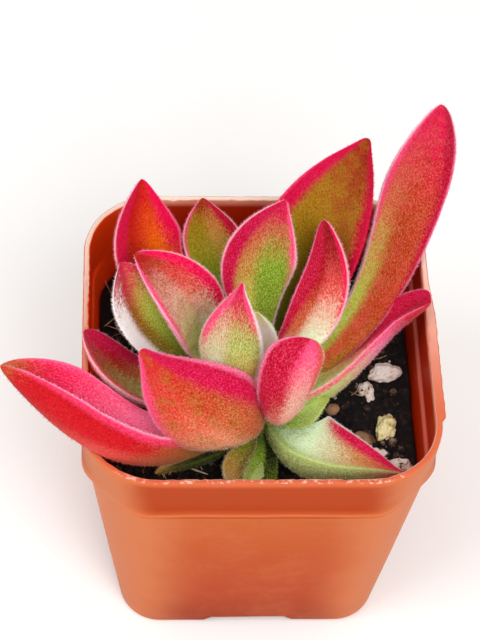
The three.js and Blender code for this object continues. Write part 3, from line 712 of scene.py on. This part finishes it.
leaves = {
    "leaf_bud": dict(
        z=61.4, side=60, heading=121, rise=76.5, length=12.5, roll=-37, bow=0.04, width=6.5, widest=0.57,
        neck=0.42, taper=1, blunt=0.5, folds=(0.35, 0.37), thick=2.6,
        base="celery", left=("cream", "cream"), right=("ivory", "frost"), tip="straw",
        stops=(0.3, 0.7, 0.97), fringeAndSheen=("ivory", "mint")),
    "leaf_back_inner": dict(
        z=60.8, side=76, heading=78.5, rise=49.5, length=29, roll=6, bow=0.14, lean=-0.03, sweep=-0.11,
        swing=0.01, width=13.5, widest=0.63, neck=0.28, taper=0.98, blunt=0.4, folds=(0.58, 0.1), thick=3.6,
        base="grass", left=("lime", "tan"), right=("fern", "grass"), tip="crimson",
        stops=(0.26, 0.62, 0.93), bands=(("crimson", 0.4, 0.05), ("rose", 0.16, 0.4)),
        fringeAndSheen=("blush", "blush")),
    "leaf_center": dict(
        z=59.7, side=-139, heading=116, rise=77, length=23, roll=128, bow=0.22, lean=-0.03, sweep=0.03,
        width=11, widest=0.52, neck=0.39, taper=1.26, blunt=0.4, folds=(0.32, 0.04), thick=3.4,
        base="celery", left=("gold", "sage"), right=("mint", "sand"), tip="crimson",
        stops=(0.25, 0.62, 0.9), bands=(("rose", 0.2, 0.6), ("rose", 0.36, 0.45)),
        fringeAndSheen=("frost", "ivory")),
    "leaf_left_inner": dict(
        z=58.1, side=166, heading=148.5, rise=42.5, length=30.5, roll=-2, bow=0.04, lean=-0.1, sweep=0.04,
        swing=0.02, width=13, widest=0.64, neck=0.47, taper=0.92, blunt=0.7, folds=(0.23, 1.14), thick=2.9,
        base="celery", left=("celery", "buff"), right=("mint", "coral"), tip="garnet",
        stops=(0.36, 0.7, 0.93), bands=(("rose", 0.14, 0.3), ("ruby", 0.3, 0.2)), fringeAndSheen=("blush", "blush"),
        blotches=("rust", 0.3)),
    "leaf_front_spoon": dict(
        z=58.1, side=-36, heading=-42.5, rise=71, length=24, roll=-45, bow=0.28, lean=-0.03, sweep=0.06,
        swing=-0.02, width=10.5, widest=0.83, neck=0.4, taper=0.66, blunt=0.8, folds=(0.23, 0.49),
        thick=3.5,
        base="ivory", left=("peach", "buff"), right=("peach", "garnet"), tip="rose", stops=(0.2, 0.6, 0.92),
        bands=(("coral", 0.22, 0.45), ("carmine", 0.5, 0.1)), fringeAndSheen=("cream", "pink")),
    "leaf_back_left": dict(
        z=57.5, side=141, heading=127, rise=38.5, length=39, roll=-5, bow=0.19, lean=-0.02, sweep=-0.1,
        swing=0.05, width=16, widest=0.75, neck=0.29, taper=1.02, blunt=1.15, folds=(0.88, 0.04), thick=2.9,
        base="lime", left=("crimson", "vermilion"), right=("orange", "orange"), tip="scarlet",
        stops=(0.4, 0.7, 0.97), bands=(("ruby", 0.4, 0.3), ("ruby", 0.3, 0.45)), fringeAndSheen=("blush", "pink"),
        crease=("scarlet", 0.6, 0.34), blotches=("vermilion", 0.5), velvet=0.3),
    "leaf_right_inner": dict(
        z=57.2, side=37, heading=62.5, rise=48.5, length=30, roll=1, bow=0.09, lean=0.04, sweep=0.11,
        swing=-0.01, width=10, widest=0.52, neck=0.4, taper=0.78, blunt=0.85, folds=(0.78, 0.35), thick=3.6,
        base="cream", left=("clay", "garnet"), right=("mint", "coral"), tip="wine", stops=(0.3, 0.64, 0.88),
        bands=(("carmine", 0.5, 0.05), ("ruby", 0.2, 0.35)), fringeAndSheen=("pink", "blush")),
    "leaf_left": dict(
        z=54.5, side=148, heading=154, rise=43.5, length=33.5, roll=-20, bow=0.075, lean=-0.035,
        sweep=-0.085, swing=0.035, width=14, widest=0.81, neck=0.3, taper=1.06, blunt=0.9,
        folds=(0.66, 0.48), thick=2.9,
        base="moss", left=("fern", "bronze"), right=("grass", "lime"), tip="crimson",
        # painted highlight: the wide frost band inside the left margin stands for the strong light on that
        # side of the leaf
        stops=(0.35, 0.75, 0.97), bands=(("frost", 0.36, 0.05, 0.93), ("crimson", 0.14, 0.5)),
        fringeAndSheen=("frost", "blush")),
    "leaf_back_tall": dict(
        z=54, side=38, heading=63, rise=36, length=47, roll=-5, bow=0.02, lean=-0.05, sweep=-0.05,
        swing=-0.02, width=19.5, widest=0.56, neck=0.3, taper=1.04, blunt=0.85, folds=(0.62, 0.31),
        thick=2.9,
        base="moss", left=("fern", "ochre"), right=("olive", "bronze"), tip="wine", stops=(0.3, 0.6, 0.98),
        bands=(("crimson", 0.26, 0.1), ("carmine", 0.18, 0.1)), fringeAndSheen=("rose", "crimson"),
        blotches=("ochre", 0.3), velvet=0.3),
    "leaf_back": dict(
        z=53.9, side=120, heading=105.5, rise=26, length=35, roll=-3, bow=0.01, sweep=0.04, swing=0.04,
        width=12.5, widest=0.75, neck=0.3, taper=1.04, blunt=0.7, folds=(0.61, 0.8), thick=3.1,
        base="moss", left=("grass", "ochre"), right=("grass", "tan"), tip="wine", stops=(0.55, 0.86, 0.98),
        bands=(("rose", 0.1, 0.5), ("carmine", 0.3, 0.4)), fringeAndSheen=("blush", "blush"), velvet=0.4),
    "leaf_small_right": dict(
        z=52.6, side=-17, heading=-11.5, rise=31, length=12, roll=24, bow=0.1, sweep=0.14, swing=0.02,
        width=5.5, widest=0.55, neck=0.42, taper=1.38, blunt=0.45, folds=(0.35, 0.25), thick=1.8,
        base="grass", left=("lime", "celery"), right=("grass", "celery"), tip="lime",
        stops=(0.3, 0.8, 0.97), fringeAndSheen=("lime", "celery")),
    "leaf_front_left": dict(
        z=52.4, side=-132, heading=-161, rise=54.5, length=34.5, roll=96, bow=0.24, lean=-0.03, sweep=0.01,
        swing=-0.02, width=18, widest=0.51, neck=0.43, taper=1.16, blunt=0.85, folds=(0.47, 0.3), thick=3.7,
        base="khaki", left=("clay", "russet"), right=("apricot", "brick"), tip="scarlet",
        stops=(0.25, 0.66, 0.97), bands=(("crimson", 0.36, 0.05), ("rose", 0.2, 0.5)),
        fringeAndSheen=("pink", "pink"), blotches=("bronze", 0.4)),
    "leaf_right": dict(
        z=52.1, side=30, heading=23, rise=23.5, length=33, roll=-29, bow=0.05, lean=0.02, sweep=0.01,
        swing=0.11, width=10, widest=0.62, neck=0.42, taper=0.26, blunt=0.7, folds=(0.38, 0.57), thick=3.6,
        base="grass", left=("sage", "ruby"), right=("celery", "ruby"), tip="carmine",
        stops=(0.3, 0.6, 0.95), bands=(("crimson", 0.3, 0.3), None), fringeAndSheen=("pink", "pink"),
        outer=dict(base="grass", left=("cream", "cream"), right=("celery", "pink"), tip="scarlet",
                   stops=(0.3, 0.6, 0.92), fringeAndSheen=("ivory", "rose"))),
    "leaf_left_low": dict(
        z=51.7, side=165, heading=163, rise=20, length=31, roll=24, bow=0.14, lean=0.01, sweep=-0.04,
        swing=0.06, width=13, widest=0.64, neck=0.42, taper=0.6, blunt=0.8, folds=(0.26, 0.27), thick=3.3,
        base="sage", left=("celery", "rust"), right=("tan", "garnet"), tip="crimson",
        stops=(0.45, 0.8, 0.95), bands=(("coral", 0.16, 0.3), ("crimson", 0.36, 0.15)),
        fringeAndSheen=("blush", "blush")),
    "leaf_right_tall": dict(
        z=51.5, side=55, heading=50, rise=40, length=59, roll=28, bow=0.15, lean=0.12, sweep=0.13,
        width=12.5, widest=0.76, neck=0.29, taper=0.7, blunt=0.7, folds=(0.49, 0.1), thick=3.9,
        base="fern", left=("lime", "clay"), right=("russet", "russet"), tip="ruby",
        stops=(0.38, 0.68, 0.92), bands=(("rose", 0.16, 0.4), ("carmine", 0.24, 0.3)),
        fringeAndSheen=("blush", "pink"), crease=("russet", 0.9, 0.65), blotches=("coral", 0.3)),
    "leaf_front_right": dict(
        z=50.4, side=-40, heading=-26, rise=1, length=25.5, roll=-14, bow=0.12, lean=0.01, sweep=0.12,
        swing=0.05, width=18, widest=0.39, neck=0.2, taper=1.22, blunt=0.35, folds=(0.93, 1.2), thick=4.1,
        base="fern", left=("mint", "tan"), right=("celery", "celery"), tip="crimson",
        stops=(0.3, 0.72, 0.97), bands=(("crimson", 0.36, 0.3), None), fringeAndSheen=("frost", "celery"),
        velvet=0.95),
    "leaf_left_over_rim": dict(
        z=50.2, side=-171, heading=-173, rise=28.5, length=47, roll=26, bow=0.12, sweep=-0.18, width=17,
        widest=0.76, neck=0.3, taper=0.76, blunt=1, folds=(1.11, 1.27), thick=5,
        base="moss", left=("rose", "scarlet"), right=("pink", "ruby"), tip="russet",
        stops=(0.3, 0.85, 0.985), bands=(("blush", 0.14, 0.2), ("rose", 0.1, 0.3)), fringeAndSheen=("pink", "pink"),
        driedFrom=0.985,
        outer=dict(base="olive", left=("tan", "coral"), right=("peach", "brick"), tip="garnet",
                   stops=(0.3, 0.55, 0.985), bands=(("scarlet", 0.42, 0.3), ("coral", 0.2, 0.2)),
                   fringeAndSheen=("rose", "blush"), crease=("coral", 0.5, 0.34), driedFrom=0.985),
        velvet=0.8, outerVelvet=0.25),
    "leaf_front_low": dict(
        z=49.2, side=-108, heading=-98, rise=-7.5, length=13.5, roll=-22, bow=0.1, sweep=0.04, swing=-0.06,
        width=8.5, widest=0.71, neck=0.3, taper=1, blunt=0.5, folds=(0.55, 0.44), thick=2.5,
        base="moss", left=("sage", "celery"), right=("olive", "gold"), tip="sand", stops=(0.35, 0.75, 0.98),
        fringeAndSheen=("mint", "sand"), crease=("umber", 0.7, 0.34)),
    "leaf_front_shaded": dict(
        z=48.5, side=-72, heading=-88.5, rise=-4, length=15, roll=14, bow=0.06, swing=-0.04, width=6,
        widest=0.67, neck=0.4, taper=1, blunt=0.5, folds=(0.4, 0.65), thick=2.3,
        # painted shade: this leaf lies in deep shade under the leaves above it, so its base and the start of
        # its left half are painted nearly black green
        base="shadeGreen", left=("shadeGreen", "fern"), right=("grass", "sage"), tip="sage", stops=(0.4, 0.8, 0.98),
        fringeAndSheen=("fern", "straw")),
    "leaf_soil_left": dict(
        z=47.3, side=-141, heading=-149.5, rise=3.5, length=19, roll=26, bow=0.02, sweep=-0.03, swing=-0.02,
        width=6, widest=0.56, neck=0.4, taper=1, blunt=0.5, folds=(0.4, 0.35), thick=2.2,
        # painted shade: its left half starts nearly black green, the shade in its channel
        base="moss", left=("shadeGreen", "moss"), right=("olive", "straw"), tip="gold", stops=(0.4, 0.75, 0.98),
        fringeAndSheen=("moss", "khaki")),
}


def leafFrame(leaf):
    # root point, direction to the tip, the way the inner face looks, and the way across to the right
    side, heading, rise, roll = (radians(leaf[k]) for k in ("side", "heading", "rise", "roll"))
    root = stemAxis(leaf["z"]) + leafSurface["rootInStem"] * np.array((cos(side), sin(side), 0))
    chord = np.array((cos(rise) * cos(heading), cos(rise) * sin(heading), sin(rise)))
    upright = np.array((0, 0, 1)) - chord * chord[2]
    upright /= np.linalg.norm(upright)
    face = cos(roll) * upright + sin(roll) * np.cross(chord, upright)
    return root, chord, face, np.cross(chord, face)


def leafCentre(leaf, t):
    root, chord, face, across = leafFrame(leaf)
    half, whole = np.sin(pi * t)[:, None], np.sin(2 * pi * t)[:, None]
    away = face * (leaf.get("lean", 0) * whole - leaf["bow"] * half)
    aside = across * (leaf.get("sweep", 0) * half + leaf.get("swing", 0) * whole)
    return root + leaf["length"] * (chord * t[:, None] + away + aside)


def leafPoints(leaf, t, angle):
    # points of the leaf's skin: t runs from root to tip, angle runs round it
    centre = leafCentre(leaf, t)
    along = leafCentre(leaf, t + 1e-3) - leafCentre(leaf, t - 1e-3)
    along /= np.linalg.norm(along, axis=1)[:, None]
    face = leafFrame(leaf)[2]
    face = face - along * (along @ face)[:, None]
    face /= np.linalg.norm(face, axis=1)[:, None]
    across = np.cross(along, face)
    place = np.cos(angle)
    fold = np.where(place < 0, leaf["folds"][0], leaf["folds"][1])
    shorten = np.sqrt(1 + fold ** 2)
    # outline: widens from the neck, closes towards the tip, and ends in a round of the size of blunt
    past = np.clip((t - leaf["widest"]) / (1 - leaf["widest"]), 0, 1)
    lower = leaf["neck"] + (1 - leaf["neck"]) * smooth(t / leaf["widest"])
    halfWidth = leaf["width"] / 2 * np.where(t < leaf["widest"], lower, (1 - past ** 2) ** leaf["taper"])
    toTip = leaf["length"] * (1 - t)
    halfWidth = np.sqrt(halfWidth ** 2 + 2 * leaf["blunt"] * toTip * np.exp(-toTip / (1.5 * leaf["blunt"])))
    # cross-section: two raised halves with a rounded crease between them, thin at the edges
    crease, share = leafSurface["crease"], leafSurface["innerShare"]
    raised = (np.sqrt(place ** 2 + crease) - crease ** 0.5) / ((1 + crease) ** 0.5 - crease ** 0.5)
    plump = np.sqrt(np.clip(1 - np.abs(place) ** 2.6, 0, 1))
    thick = leaf["thick"] * np.clip(1 - t ** 3, 0, 1) ** 0.55 * (0.8 + 0.2 * np.sin(pi * t))
    depth = thick * plump * np.where(np.sin(angle) > 0, share, share - 1)
    return (centre + across * (halfWidth * place / shorten)[:, None]
            + face * (halfWidth * fold * raised / shorten + depth)[:, None])


def makeLeaf(name, leaf):
    rows, columns = leafSurface["rows"], leafSurface["columns"]
    piece, row, column = roundBlank(name + "_blade", columns, rows)
    # closer rings towards the tip
    t = 1 - (1 - np.clip((row - 1) / (rows - 2), 0, 1)) ** leafSurface["crowding"]
    angle = 2 * pi * column / columns
    points = leafPoints(leaf, t, angle)
    ends = (row == 0) | (row == rows)
    points[ends] = leafCentre(leaf, t[ends])
    # soft unevenness of a fleshy leaf
    waves = [0.1 * noise.noise(Vector(p) * 0.22) + 0.05 * noise.noise(Vector(p) * 0.7) for p in points]
    points += leafFrame(leaf)[2] * np.array(waves)[:, None] * np.sin(pi * t)[:, None]
    setPoints(piece, points)
    # across, along and inner or outer face, which the skin's colours follow
    values = np.stack([np.cos(angle), t, np.sin(angle)], 1)
    values[ends, 0] = 0
    keepOnPoints(piece, "leafPlace", values)
    applyModifier(piece, "SUBSURF", levels=1, render_levels=1)
    return piece


def overlay(add, field, shade, *amounts):
    # lays a colour of the palette over the field, as strongly as the product of the amounts says
    strength = amounts[0]
    for amount in amounts[1:]:
        strength = add("MULTIPLY", strength, amount)
    return add("mix", strength, field, leafPalette[shade])


def faceColour(add, colours, across, along, outermost, blotch):
    # colours of one face: two halves that change along it, then what lies over them
    low, high, end = colours["stops"]
    halves = []
    for first, second in (colours["left"], colours["right"]):
        shades = (0.05, colours["base"]), (low, first), (high, second), (end, colours["tip"])
        halves.append(add("ramp", along, stops=[(stop, leafPalette[shade]) for stop, shade in shades]))
    field = add("mix", add("step", across, -0.25, 0.25), *halves)
    if "crease" in colours:
        shade, strength, reach = colours["crease"]
        line = add("step", add("ABSOLUTE", across), 0.02, reach, strength, 0.0)
        field = overlay(add, field, shade, line, add("step", along, high, end, 1.0, 0.0))
    if "blotches" in colours:
        shade, strength = colours["blotches"]
        field = overlay(add, field, shade, blotch, strength)
    for sign, band, fringeAndSheen in zip((-1.0, 1.0), colours.get("bands", (None, None)), colours["fringeAndSheen"]):
        if band:
            # narrow towards the stem, wide enough at the tip to fill it
            shade, width, start, *stop = band
            middle = add("step", along, start, 1.0, 1 - 0.55 * width, 1 - 1.6 * width)
            edge = add("step", add("MULTIPLY", across, sign), add("SUBTRACT", middle, 0.05 + 0.3 * width),
                       add("ADD", middle, 0.05 + 0.2 * width))
            fades = [add("step", along, start, start + 0.25)]
            fades += [add("step", along, last - 0.12, last, 1.0, 0.0) for last in stop]
            field = overlay(add, field, shade, edge, *fades)
        # painted sheen: the outermost line is laid over in its own colour, partly for the denser hairs of
        # the margin and partly for the glow of hairs seen edge-on
        line = add("step", add("MULTIPLY", outermost, sign), 0.9, 1.0, 0.0, 0.8)
        field = overlay(add, field, fringeAndSheen, line, add("step", along, 0.06, 0.2))
    if "driedFrom" in colours:
        dried = colours["driedFrom"]
        field = overlay(add, field, "tan", add("step", along, dried, dried + 0.03))
    return field


# velvet: features to the millimetre, and how far they move the borders between the colours
velvetLook = {
    "nap": 5.6,             # hairs 0.18 mm apart, drawn out along the leaf
    "grain": 7.0,
    "blotch": 0.42,
    "wave": 0.26,
    "napWander": 0.8,
    "waveWander": 0.26,
    "usual": 0.85,          # how much the hairs show where a leaf doesn't say
    "whiteHair": "#fff6fa",
}


def velvetColour(add, leaf):
    # colour of the skin and of the hairs at a place of the leaf, how much the hairs show, their nap,
    # and the place that it follows, which is shortened along the leaf to draw the strokes out
    look = velvetLook
    place = add("place")
    spot = add("axes", add("vector", attribute_name="leafPlace"))
    sides = (("X", 0.5, "width"), ("Y", 0.4, "length"), ("Z", 0.5, "thick"))
    stroke = add("join", *[add("MULTIPLY", spot[k], share * mm * leaf[size]) for k, share, size in sides])
    nap = add("noise", stroke, look["nap"] / mm, 2.0, 0.6)
    wave = add("noise", place, look["wave"] / mm, 4.0, 0.65)
    # each is centred on nought
    wave, byNap = (add("MULTIPLY_ADD", pattern, reach, -reach / 2)
                   for pattern, reach in ((wave, look["waveWander"]), (nap, look["napWander"])))
    wander = add("ADD", wave, byNap)
    along = add("MULTIPLY_ADD", wander, 0.6, spot["Y"])
    across, outermost = (add("MULTIPLY_ADD", wander, share, spot["X"]) for share in (0.7, 0.1))
    blotch = add("step", add("noise", place, look["blotch"] / mm, 3.0, 0.6), 0.44, 0.62)
    colour = faceColour(add, leaf, across, along, outermost, blotch)
    velvet = leaf.get("velvet", look["usual"])
    if "outer" in leaf:
        inner = add("step", spot["Z"], -0.12, 0.12)
        outer = faceColour(add, leaf["outer"], across, along, outermost, blotch)
        colour = add("mix", inner, outer, colour)
        velvet = add("step", inner, 0.0, 1.0, leaf.get("outerVelvet", velvet), velvet)
    # hairs are thinner where the skin is flushed
    thinner = add("step", add("green", colour), 0.0, 0.3, 0.7, 1.0)
    velvet = add("MULTIPLY", velvet, thinner)
    # light that passes a thin white hair comes back in a pale tint of the skin below it
    hairs = add("mix", 0.06, add("gamma", colour, 0.65), look["whiteHair"])
    return colour, hairs, velvet, nap, stroke


def leafSkin(name, leaf):
    # leaf of a velvet echeveria: fleshy, matt, green at the base and flushed red where the sun reaches,
    # under a nap of short white hairs that breaks up its shine and lightens it at grazing angles
    material, add = newMaterial(name + "_velvetSkin", {
        "Roughness": 0.62, "IOR": 1.4, "Specular IOR Level": 0.08,
        "Sheen Weight": 0.06, "Sheen Tint": "#fff0f4", "Sheen Roughness": 0.4,
        "Subsurface Weight": 0.12, "Subsurface Radius": (1.0, 0.35, 0.2), "Subsurface Scale": 0.0012})
    colour, hairs, velvet, nap, stroke = velvetColour(add, leaf)
    # the nap lies towards the tip and shows as fine pale strokes, with painted shade between them: the skin
    # is laid darker and deeper in the gaps between the hairs
    grain = add("noise", stroke, velvetLook["grain"] / mm, 1.0, 0.5)
    pale = add("MULTIPLY", add("step", grain, 0.5, 0.66), velvet)
    shadeBetweenHairs = add("gamma", colour, 1.4)
    skin = add("mix", add("step", grain, 0.48, 0.34), colour, shadeBetweenHairs)
    return dress(material, add("mix", pale, skin, hairs), (nap, 0.35, 0.25 * mm))


# short hairs on every leaf, as closed three-sided spikes

hairShape = {
    "perSquareMillimetre": 7.0,
    "onEdges": 3.2,         # hairs stand this much denser along the edges
    "length": (0.22, 0.48),
    "radius": 0.03,
    "sunk": 0.06,
    "towardsTip": 0.6,
    "tousle": 0.4,
    "seed": 7,
}


def makeHair(name, leaf, blade, random):
    shape = hairShape
    blade.data.calc_loop_triangles()
    corners = np.array([v.co for v in blade.data.vertices]) / mm
    places = np.zeros(len(corners) * 3, np.float32)
    blade.data.attributes["leafPlace"].data.foreach_get("vector", places)
    places = places.reshape(-1, 3)
    faces = np.array([t.vertices[:] for t in blade.data.loop_triangles])
    a, b, c = (corners[faces[:, k]] for k in range(3))
    normals = np.cross(b - a, c - a)
    areas = np.linalg.norm(normals, axis=1) / 2
    normals /= np.maximum(2 * areas, 1e-9)[:, None]
    middles = places[faces].mean(1)
    nearEdge = smooth((np.abs(middles[:, 0]) - 0.8) / 0.15)
    weights = areas * (middles[:, 1] > 0.1) * (1 + (shape["onEdges"] - 1) * nearEdge)
    count = int(weights.sum() * shape["perSquareMillimetre"])
    chosen = random.choice(len(faces), count, p=weights / weights.sum())
    u, v = random.random((2, count))
    u, v = np.where(u + v > 1, 1 - u, u), np.where(u + v > 1, 1 - v, v)
    roots = a[chosen] + (b - a)[chosen] * u[:, None] + (c - a)[chosen] * v[:, None]
    normal = normals[chosen]
    tousle = random.normal(size=(count, 3))
    direction = normal + shape["towardsTip"] * leafFrame(leaf)[1] + shape["tousle"] * tousle
    direction += normal * np.clip(0.5 - (direction * normal).sum(1), 0, None)[:, None]
    direction /= np.linalg.norm(direction, axis=1)[:, None]
    length = random.uniform(*shape["length"], count)
    first = np.cross(direction, tousle)
    first /= np.linalg.norm(first, axis=1)[:, None]
    second = np.cross(direction, first)
    points = np.zeros((count, 4, 3))
    for k in range(3):
        turn = 2 * pi * k / 3
        foot = shape["radius"] * (cos(turn) * first + sin(turn) * second)
        points[:, k] = roots - shape["sunk"] * normal + foot
    points[:, 3] = roots + direction * length[:, None]
    spike = np.array([(0, 2, 1), (0, 1, 3), (1, 2, 3), (2, 0, 3)])
    allFaces = (spike[None] + 4 * np.arange(count)[:, None, None]).reshape(-1, 3)
    hair = meshPiece(name + "_hair", points.reshape(-1, 3), allFaces.tolist())
    # each hair keeps the place of its root, for its colour
    rootPlace = (places[faces[chosen, 0]] + places[faces[chosen, 1]] + places[faces[chosen, 2]]) / 3
    keepOnPoints(hair, "leafPlace", np.repeat(rootPlace, 4, axis=0))
    return hair


def hairFibre(name, leaf):
    # leaf hair: a clear tube full of air, which scatters white and takes some of the skin's colour
    finish = {"Roughness": 0.5, "IOR": 1.45, "Specular IOR Level": 0.1}
    material, add = newMaterial(name + "_hairFibre", finish)
    colour, hairs, velvet = velvetColour(add, leaf)[:3]
    return dress(material, add("mix", velvet, colour, hairs))


hairRandom = np.random.default_rng(hairShape["seed"])
for name, leaf in leaves.items():
    blade = makeLeaf(name, leaf)
    settle(blade, leafSkin(name, leaf), "leaf", name)
    settle(makeHair(name, leaf, blade, hairRandom), hairFibre(name, leaf), "leaf")
print("leaves and their hair are grown")
